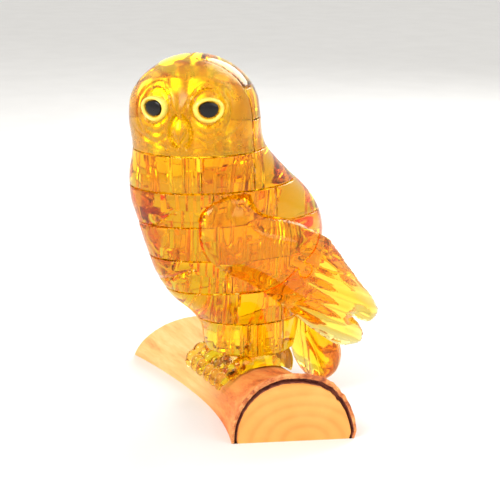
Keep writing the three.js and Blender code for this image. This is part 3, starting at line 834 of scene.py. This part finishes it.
def head_form(low, high, columns, with_face):
    """The head between two heights, rounded at the edges that are seams; the top closes as a dome."""
    closed_top = high >= HEIGHT
    turns = columns + FACE_TURN - math.pi / 2
    rows = []
    for z in head_heights(low, high, closed_top, 0.42 if with_face else 0.6):
        x, y = body_oval(z, turns)
        head_y = -(x - HEAD_CENTRE[0]) * math.sin(FACE_TURN) + (y - HEAD_CENTRE[1]) * math.cos(FACE_TURN)
        inset = np.maximum(edge_inset(z - low), edge_inset(np.abs(head_y - FACE_SEAM) - HALF_GAP))
        if not closed_top:
            inset = np.maximum(inset, edge_inset(high - z))
        if low < CROWN_BASE and not with_face:
            inset = np.maximum(inset, edge_inset(np.abs(head_y - HEAD_BACK_SEAM) - HALF_GAP))
        out = -inset + 0.05 * ripple(x * 0.4, z * 0.4, 11)
        if with_face:
            wrapped = (columns + math.pi) % (2 * math.pi) - math.pi
            fade = smoothstep(88, 72, np.abs(np.degrees(wrapped)))
            out = out + fade * face_relief(wrapped * HEAD_RADIUS, np.full(len(x), z))
        narrowing = np.clip(body_section(z)[3] / 6, 0, 1)
        rows.append(skin_row(z, turns, (x, y), narrowing * out))
    return loft("head", rows)


def eye_frame(sign):
    azimuth = FACE_TURN + sign * EYE_SPREAD
    out = Vector((math.sin(azimuth), -math.cos(azimuth), 0))
    centre = Vector((*HEAD_CENTRE, EYE_HEIGHT)) + out * EYE_REACH
    return out, centre


EYE_SQUASH = (0.66, 0.92)  # heights of the eye above and below its middle, as shares of its width
# Turned profiles of the eye: radius and distance out from the bottom of the bore.
RING_PROFILE = (
    (3.8, -2.4), (3.8, 0.8), (3.7, 1.15), (3.46, 1.4),
    (3.22, 1.5), (3.0, 1.45), (2.84, 1.3), (EYE_BORE, 1.05),
)
PUPIL_PROFILE = (
    (2.4, 0), (2.4, 0.7), (2.3, 0.86), (2.05, 0.98),
    (1.6, 1.08), (1.1, 1.15), (0.5, 1.2), (0.05, 1.22),
)


def beak():
    """A keeled, hooked beak: rows from its tucked point up to its root between the eyes."""
    out = np.array((math.sin(FACE_TURN), -math.cos(FACE_TURN), 0))
    across = np.array((math.cos(FACE_TURN), math.sin(FACE_TURN), 0))
    stations = smooth_curve(BEAK_STATIONS)
    turns = full_turn(36)
    ahead = np.cos(turns)
    rows = []
    for share in np.linspace(0, 1, 30):
        half_width, keel = stations(share)
        centre = np.array((*HEAD_CENTRE, BEAK_FOOT + BEAK_LENGTH * share)) + out * BEAK_REACH
        front = np.where(ahead > 0, keel * np.abs(ahead) ** 1.3, -2.4 * np.abs(ahead))
        rows.append(centre + np.outer(half_width * np.sin(turns), across) + np.outer(front, out))
    return loft("beak", rows)


def make_face():
    face = head_form(HEAD_BASE + HALF_GAP, HEIGHT, head_columns(), True)
    paint(face, 0, SATIN_AMBER, EYE_YELLOW)
    combine(face, rod_hole(), "DIFFERENCE")
    front = on_head(rectangle(-FAR, FAR, -FAR, FACE_SEAM - HALF_GAP))
    combine(face, prism(front, HEAD_BASE - 1, HEIGHT + 1), "INTERSECT")
    for _, sign in SIDES:
        knob = seam_line(FACE_SEAM, 0, 0, [(sign * FACE_KNOB_X, 1, -HALF_GAP)], -1)[1:-1]
        combine(face, prism(on_head(knob[::-1]), HEAD_BASE + HALF_GAP, CROWN_BASE - HALF_GAP), "UNION")
    for name, sign in SIDES:
        out, centre = eye_frame(sign)
        root = RING_PROFILE[0][1]
        ring_rows = [(radius, distance - root) for radius, distance in RING_PROFILE]
        lid = lathe(centre + out * root, centre + out, ring_rows, 56, EYE_SQUASH)
        paint(lid, 1, SATIN_AMBER, EYE_YELLOW)
        combine(face, lid, "UNION")
        bore = lathe(centre + out * 0.05, centre + out * FAR, [(EYE_BORE, 0), (EYE_BORE, 12)], 56, EYE_SQUASH)
        combine(face, bore, "DIFFERENCE")
        pupil = lathe(centre + out * GAP, centre + out * 2, PUPIL_PROFILE, 48, EYE_SQUASH)
        show(pupil, f"pupil_{name}", "head", "pupil_black", PUPIL_BLACK)
    combine(face, beak(), "UNION")
    show(face, "face", "head", "amber_plastic", SATIN_AMBER, EYE_YELLOW)


def make_head():
    coarse = np.radians(np.arange(0, 360, 1.8))
    for level, names in enumerate(HEAD_RING_NAMES):
        low = HEAD_BASE + HEAD_RING * level
        ring = head_form(low + HALF_GAP, low + HEAD_RING - HALF_GAP, coarse, False)
        combine(ring, rod_hole(), "DIFFERENCE")
        face_knobs = [(sign * FACE_KNOB_X, 1) for _, sign in SIDES]
        back_knobs = [(sign * HEAD_BACK_KNOB_X[level], -1) for _, sign in SIDES]
        outlines = cell_outlines(FACE_SEAM, HEAD_BACK_SEAM, face_knobs, back_knobs, False)
        for part, name in names.items():
            piece = share_of(ring, prism(on_head(outlines[part]), low - 1, low + HEAD_RING + 1))
            place = on_head([HEAD_PEGS[part]])[0]
            if level:
                cut_socket(piece, place, low)
            else:
                for peg in NECK_PEGS.values():
                    cut_socket(piece, peg, low)
            add_peg(piece, place, low + HEAD_RING)
            show_amber(piece, name, "head")
        discard(ring)
    make_face()
    crown = head_form(CROWN_BASE + HALF_GAP, HEIGHT, coarse, False)
    combine(crown, rod_hole(), "DIFFERENCE")
    for peg in HEAD_PEGS.values():
        cut_socket(crown, on_head([peg])[0], CROWN_BASE)
    for side, sign in SIDES:
        quarter = on_head(rectangle(*side_span(sign, HALF_GAP, FAR), FACE_SEAM + HALF_GAP, FAR))
        half = share_of(crown, prism(quarter, CROWN_BASE - 1, HEIGHT + 1))
        show_amber(half, f"crown_{side}", "crown")
    discard(crown)


# ---------------- wings
def feather_relief(s, w):
    """Height of the wing's feathers over its smooth bulge; s runs to the tips and w across, upwards."""
    across = (w - FEATHER_FAN * (s + 6) + 3 * FEATHER_WIDTH + 0.3 * np.sin(s * 0.2)) / FEATHER_WIDTH
    row = np.floor(across)
    share = across - row
    vane = VANE_HEIGHT * (1 - share) * smoothstep(0, 0.3, share)
    shaft = SHAFT_HEIGHT * ridge((share - 0.5) * FEATHER_WIDTH, SHAFT_WIDTH)
    start = FEATHER_START + 2.5 * np.sin(row * 2.1) - 2.2 * np.sin(share * math.pi)
    return smoothstep(start, start + FEATHER_RISE, s) * (vane + shaft - FEATHER_SINK)


def wing_plate(sign, outline):
    """A wing's skin as a height over the flank plane, on a grid that reaches past its outline."""
    y, z = np.meshgrid(np.arange(-15, 40, WING_GRID_STEP), np.arange(18, 67, WING_GRID_STEP))
    cos, sin = math.cos(WING_TILT), math.sin(WING_TILT)
    s = (y - WING_AXIS_Y) * cos + (z - WING_AXIS_Z) * sin
    w = -(y - WING_AXIS_Y) * sin + (z - WING_AXIS_Z) * cos
    bulge = np.clip(1 - (s / WING_HALF_LENGTH) ** 2 - (w / WING_HALF_WIDTH) ** 2, 0, 1)
    edge = distance_to(outline, y, z, closed=True)
    rim = WING_RIM - WING_TAPER * smoothstep(-14, 16, s)
    thick = rim + (WING_BULGE - rim) * np.sqrt(bulge) * smoothstep(-1.5, 5, edge) + feather_relief(s, w)
    thick = np.maximum(thick - edge_inset(edge, WING_EDGE_ROUND), WING_THINNEST)
    behind = WING_INSIDE - 5
    rows = []
    for row_y, row_z, row_thick in zip(y, z, thick):
        loop_x = np.append(WING_INSIDE + GAP + row_thick, [behind, behind])
        loop_y = np.append(row_y, [row_y[-1], row_y[0]])
        rows.append(level_row(sign * loop_x, loop_y, row_z[0])[::sign])
    return loft("wing", rows)


def wing_half(span, upper):
    """The wing's share above or below its seam, with a knob that the coverts own."""
    (ay, az), (by, bz) = WING_SEAM
    length = math.hypot(by - ay, bz - az)
    middle = np.array(((ay + by) / 2, (az + bz) / 2))
    along = np.array(((by - ay) / length, (bz - az) / length))
    up = np.array((-along[1], along[0]))
    grow = -HALF_GAP if upper else HALF_GAP
    edge = HALF_GAP if upper else -HALF_GAP
    line = seam_line(0, -FAR, FAR, [(0, -1, grow)], edge)
    local = line + [(FAR, FAR), (-FAR, FAR)] if upper else [(-FAR, -FAR), (FAR, -FAR)] + line[::-1]
    return side_prism([middle + a * along + b * up for a, b in local], *span)


def make_wing(side, sign):
    outline = wing_outline()
    span = side_span(sign, WING_INSIDE + GAP, FAR)
    plate = wing_plate(sign, outline)
    combine(plate, side_prism(outline, *span), "INTERSECT")
    for part, upper in (("coverts", True), ("primaries", False)):
        piece = share_of(plate, wing_half(span, upper))
        if upper:
            combine(piece, wing_peg(sign, 0), "UNION")
        show_amber(piece, f"{side}_wing_{part}", f"{side}_wing", AMBER if upper else FEATHER_AMBER)
    discard(plate)


# ---------------- tail
# Each row of these is a height and the y, or the half width, of the tail there.
TAIL_BACK = ((7.6, 27.4), (9, 29), (11, 30.5), (14.5, 31.4), (20, 30.8), (28, 28.8), (TAIL_TOP, 26))
TAIL_FRONT = ((7.6, 25.2), (9, 24.4), (19, 21.6), (28.6, 18.8), (32, 17), (TAIL_TOP, 17))
TAIL_WIDTH = ((7.6, 3.4), (8.3, 5.6), (9.4, 7.2), (11, 8.6), (13.4, 9.4), (24, 8), (TAIL_TOP, 6.5))
TAIL_FEATHERS, TAIL_RIB, TAIL_RIB_SINK = 3.5, 0.55, 0.3
TAIL_FAN, TAIL_SQUARENESS, TAIL_BOW, TAIL_FRONT_BOW = 0.2, 6, 1.2, 0.5


def make_tail():
    back, front, width = (smooth_curve(rows) for rows in (TAIL_BACK, TAIL_FRONT, TAIL_WIDTH))
    across = np.linspace(-1, 1, 91)
    corner = np.sqrt(np.clip(1 - np.abs(across) ** TAIL_SQUARENESS, 0, 1))
    rows = []
    for z in np.linspace(TAIL_BACK[0][0], TAIL_TOP, 90):
        y_back, y_front, half = back(z)[0], front(z)[0], width(z)[0]
        fan = 1 + TAIL_FAN * (TAIL_TOP - z) / TAIL_TOP
        ribs = TAIL_RIB * np.abs(np.cos(math.pi * across * TAIL_FEATHERS / fan)) ** 0.7 - TAIL_RIB_SINK
        middle = (y_back + y_front) / 2
        x = half * across
        rear = middle + (y_back - middle) * corner + ribs * corner - TAIL_BOW * across**2
        fore = middle - (middle - y_front) * corner - TAIL_FRONT_BOW * across**2
        rows.append(level_row(np.concatenate([x, x[-2:0:-1]]), np.concatenate([fore, rear[-2:0:-1]]), z))
    tail = loft("tail", rows)
    grown = SLICE_SWELL + GAP
    hollow_rows = [skin_row(z, COLUMNS, body_oval(z, COLUMNS), grown) for z in range(15, 45)]
    combine(tail, loft("hollow", hollow_rows), "DIFFERENCE")
    thigh_top = BODY_BASE + SLICE
    thighs = rectangle(-FAR, FAR, -FAR, body_section(thigh_top)[1] + GAP)
    combine(tail, prism(thighs, 0, thigh_top), "DIFFERENCE")
    for side, sign in SIDES:
        half = share_of(tail, prism(rectangle(*side_span(sign, HALF_GAP, FAR), -FAR, FAR), 0, FAR))
        combine(half, tail_peg(sign, 0), "UNION")
        show_amber(half, f"tail_{side}", "tail")
    discard(tail)


# ---------------- log
LOG_ARCH_COLUMNS, LOG_FLOOR_COLUMNS = 120, 40
SIDE, BARK, GROOVE, END = range(4)  # the log's materials in order
END_TOP_INSET = 1.9  # the rim of the near end is this much thicker at its top than at its sides
# From the rim of the near end inwards: inset from the outline, place along the log, material.
END_STEPS = (
    (0.25, 0.0, BARK),
    (0.7, -0.2, BARK),
    (0.8, -2.2, GROOVE),
    (1.3, -2.4, GROOVE),
    (1.4, -0.4, GROOVE),
    (1.55, 0.0, END),
    *((inset, 0.0, END) for inset in np.linspace(2.2, 14, 14)),
)


def log_row(along, grow, relief):
    """One section across the log at a share of its length, counter-clockwise seen from the near end."""
    arch = -np.cos(np.linspace(math.pi, 0, LOG_ARCH_COLUMNS))
    floor = np.linspace(-1, 1, LOG_FLOOR_COLUMNS + 2)[1:-1]
    across = np.concatenate([arch, floor])
    arch_rise = (1 - np.abs(arch) ** LOG_ROUNDNESS) ** (1 / LOG_ROUNDNESS)
    rise = np.concatenate([arch_rise, np.zeros(len(floor))])
    x_along = LOG_FAR + (LOG_NEAR - LOG_FAR) * along
    flare, lift = LOG_NEAR_SPREAD if x_along > LOG_WAIST_X else LOG_FAR_SPREAD
    from_waist = (x_along - LOG_WAIST_X) ** 2
    front = LOG_FRONT - flare * from_waist - grow
    back = LOG_BACK + grow
    y = (front + back) / 2 + across * (back - front) / 2
    z = rise * (LOG_HEIGHT + lift * from_waist + grow)
    if relief:
        grain = 0.16 * ripple(x_along * 0.02, across * 26, 3) + 0.10 * ripple(x_along * 0.05, across * 60, 4)
        bark_edge = along + 0.03 * ripple(across * 9, x_along * 0.3, 8)
        bark = smoothstep(0.80, 0.90, bark_edge) * smoothstep(0.25, 0.6, across)
        rough = bark * (0.5 + 0.35 * ripple(x_along * 1.1, across * 30, 9))
        out = (grain + rough) * smoothstep(0, 0.12, rise)
        y = y + out * across
        z = z + out * rise
    x = x_along + (1 - along) * LOG_FAR_LEAN * z + along * LOG_NEAR_TURN * (y - LOG_AXIS_Y)
    return np.column_stack([x, y, LOG_BOTTOM + z])


def log_end_row(row, inset, x_shift):
    """The outline of the near end drawn in by an inset, deeper under its top, and moved along the log."""
    low, high = row.min(axis=0), row.max(axis=0)
    heart = np.array(((low[0] + high[0]) / 2, (low[1] + high[1]) / 2, LOG_BOTTOM))
    half_width, height = (high[1] - low[1]) / 2, high[2] - LOG_BOTTOM
    side_share = max(0.03, 1 - inset / half_width)
    top_share = max(0.03, 1 - END_TOP_INSET * inset / height)
    return heart + (row - heart) * (side_share, side_share, top_share) + (x_shift, 0, 0)


def log_form(grow, steps, relief):
    return [log_row(along, grow, relief) for along in np.linspace(0, 1, steps)]


def make_log():
    rows = log_form(0, 150, True)
    end = rows[-1]
    # The bark stops raggedly, a little short of the sawn end.
    ragged = 0.35 * ripple(np.arange(len(end)) * 0.5, 0.0, 21) - 0.3
    rows[-1] = end + np.outer(ragged, (1, 0, 0))
    rows += [log_end_row(end, inset, shift) for inset, shift, _ in END_STEPS]
    log = loft("log", rows)
    centres = np.array([polygon.center for polygon in log.data.polygons])
    share = (centres[:, 0] - LOG_FAR) / (LOG_NEAR - LOG_FAR)
    across = (centres[:, 1] - LOG_AXIS_Y) / ((LOG_BACK - LOG_FRONT) / 2)
    bark_start = 0.88 + 0.05 * np.sin(centres[:, 1] * 1.7) + 0.03 * np.sin(centres[:, 1] * 4.1)
    kinds = np.where((share > bark_start) & (across > 0.3), BARK, SIDE)
    first_end = (len(rows) - len(END_STEPS) - 1) * len(end)
    kinds[first_end:] = END
    for step, (_, _, kind) in enumerate(END_STEPS):
        start = first_end + step * len(end)
        kinds[start : start + len(end)] = kind
    dark_bark = ((0.20, 0.04, 0.015), (0.62, 0.16, 0.04), (0.90, 0.42, 0.14))
    # The groove round the sawn end is painted near black: this is painted shade for the recess, darker than
    # the wood there.
    groove_painted_shade = ((0.10, 0.02, 0.015), (0.24, 0.06, 0.04), (0.42, 0.13, 0.07))
    materials = [
        side_wood_material(),
        grained_material("log_bark", (0.5, 1, 1), 500, dark_bark, (0.6, 0.85), 0.8, 0.001),
        grained_material("log_groove_painted_shade", (1, 1, 1), 600, groove_painted_shade, (0.65, 0.9), 0.5, 0.0006),
        end_wood_material(),
    ]
    paint(log, kinds, *materials)
    socket = bar((0, ROD_Y, ROD_FOOT - GAP), (0, ROD_Y, FAR), ROD_RADIUS + GAP)
    combine(log, socket, "DIFFERENCE")
    show(log, "half_log", "base", "log_wood", *materials)


def make_rod():
    length = ROD_TOP - ROD_FOOT
    chamfer = 0.5
    profile = [
        (ROD_RADIUS - chamfer, 0),
        (ROD_RADIUS, chamfer),
        (ROD_RADIUS, length - chamfer),
        (ROD_RADIUS - chamfer, length),
    ]
    rod = lathe((0, ROD_Y, ROD_FOOT), (0, ROD_Y, ROD_TOP), profile)
    show_amber(rod, "centre_rod", "base")


# ---------------- feet
def ellipsoid(centre, radii, tilt=0.0):
    """An ellipsoid tilted about X."""
    turns = full_turn(28)
    cos, sin = math.cos(tilt), math.sin(tilt)
    rows = []
    for polar in np.linspace(-math.pi / 2 + 0.04, math.pi / 2 - 0.04, 14):
        x = radii[0] * math.cos(polar) * np.cos(turns)
        y = radii[1] * math.cos(polar) * np.sin(turns)
        z = radii[2] * math.sin(polar)
        rows.append(np.column_stack([x, y * cos - z * sin, y * sin + z * cos]) + np.array(centre))
    return loft("ellipsoid", rows)


def join(objects):
    points, faces = [], []
    for obj in objects:
        base = len(points)
        points += [tuple(vertex.co) for vertex in obj.data.vertices]
        faces += [tuple(base + index for index in polygon.vertices) for polygon in obj.data.polygons]
    discard(*objects)
    return mesh_object("joined", points, faces)


def make_feet():
    clearance_rows = log_form(GAP + 0.25, 60, False)
    for side, sign in SIDES:
        lumps = [ellipsoid((sign * x, y, z), radii) for (x, y, z), radii in FOOT_LUMPS]
        for toe in TOES:
            lumps += [ellipsoid((sign * toe, y, z), radii, tilt) for y, z, radii, tilt in TOE_JOINTS]
        foot = join(lumps)
        remesh = foot.modifiers.new("remesh", "REMESH")
        remesh.mode = "VOXEL"
        remesh.voxel_size = 0.28
        smooth = foot.modifiers.new("smooth", "SMOOTH")
        smooth.factor = 0.5
        smooth.iterations = 3
        bake_modifiers(foot)
        under_body = prism(rectangle(*side_span(sign, 0.5, FAR), -FAR, FAR), 0, BODY_BASE - HALF_GAP)
        combine(foot, under_body, "INTERSECT")
        combine(foot, loft("clearance", clearance_rows), "DIFFERENCE")
        combine(foot, rod_hole(), "DIFFERENCE")
        show_amber(foot, f"foot_{side}", "feet")


# ---------------- stage, light and camera
def make_stage():
    size = 5
    floor = prism(rectangle(-size, size, -size, size), -0.004, 0)
    floor.name = "floor"
    surface = Surface("stage_floor")
    grain = surface.noise(40, 2)
    surface.fill(surface.shader, {
        "Base Color": surface.ramp(grain, (0.3, (0.80, 0.79, 0.77)), (0.7, (0.83, 0.82, 0.80))),
        "Roughness": 0.75,
    })
    floor.data.materials.append(surface.material)


def area_light(name, place, target, size, power, colour=(1, 1, 1)):
    light = bpy.data.lights.new(name, "AREA")
    light.shape = "DISK"
    light.size = size
    light.energy = power
    light.color = colour
    obj = bpy.data.objects.new(name, light)
    obj.location = place
    obj.rotation_euler = (Vector(target) - Vector(place)).to_track_quat("-Z", "Y").to_euler()
    scene.collection.objects.link(obj)


def around(azimuth, elevation, distance, target):
    a, e = math.radians(azimuth), math.radians(elevation)
    way = Vector((math.sin(a) * math.cos(e), -math.cos(a) * math.cos(e), math.sin(e)))
    return Vector(target) + way * distance


VIEW_CENTRE = (7.5, 3.5, 47.5)  # in the owl's millimetres
CAMERA_AZIMUTH, CAMERA_ELEVATION, CAMERA_DISTANCE, CAMERA_ANGLE = 65, 15.1, 0.35, math.radians(20.5)


def make_light_and_camera():
    target = Vector(VIEW_CENTRE) * MM + ORIGIN
    area_light("key", around(20, 42, 0.5, target), target, 0.28, 1.6, (1, 0.98, 0.95))
    area_light("fill", around(120, 30, 0.55, target), target, 0.4, 0.8)
    area_light("back", around(215, 38, 0.5, target), target, 0.35, 1.6)
    world = bpy.data.worlds.new("studio")
    world.use_nodes = True
    world.node_tree.nodes["Background"].inputs["Color"].default_value = (1, 0.99, 0.97, 1)
    world.node_tree.nodes["Background"].inputs["Strength"].default_value = 0.85
    scene.world = world
    data = bpy.data.cameras.new("camera")
    data.angle = CAMERA_ANGLE
    data.clip_start = 0.01
    camera = bpy.data.objects.new("camera", data)
    camera.location = around(CAMERA_AZIMUTH, CAMERA_ELEVATION, CAMERA_DISTANCE, target)
    camera.rotation_euler = (target - camera.location).to_track_quat("-Z", "Y").to_euler()
    scene.collection.objects.link(camera)
    scene.camera = camera
    scene.view_settings.view_transform = "Standard"
    scene.cycles.max_bounces = 40
    scene.cycles.transmission_bounces = 40
    scene.cycles.glossy_bounces = 8
    scene.cycles.diffuse_bounces = 4


make_log()
make_rod()
make_feet()
make_body()
make_tail()
for side_name, side_sign in SIDES:
    make_wing(side_name, side_sign)
make_head()
make_stage()
make_light_and_camera()
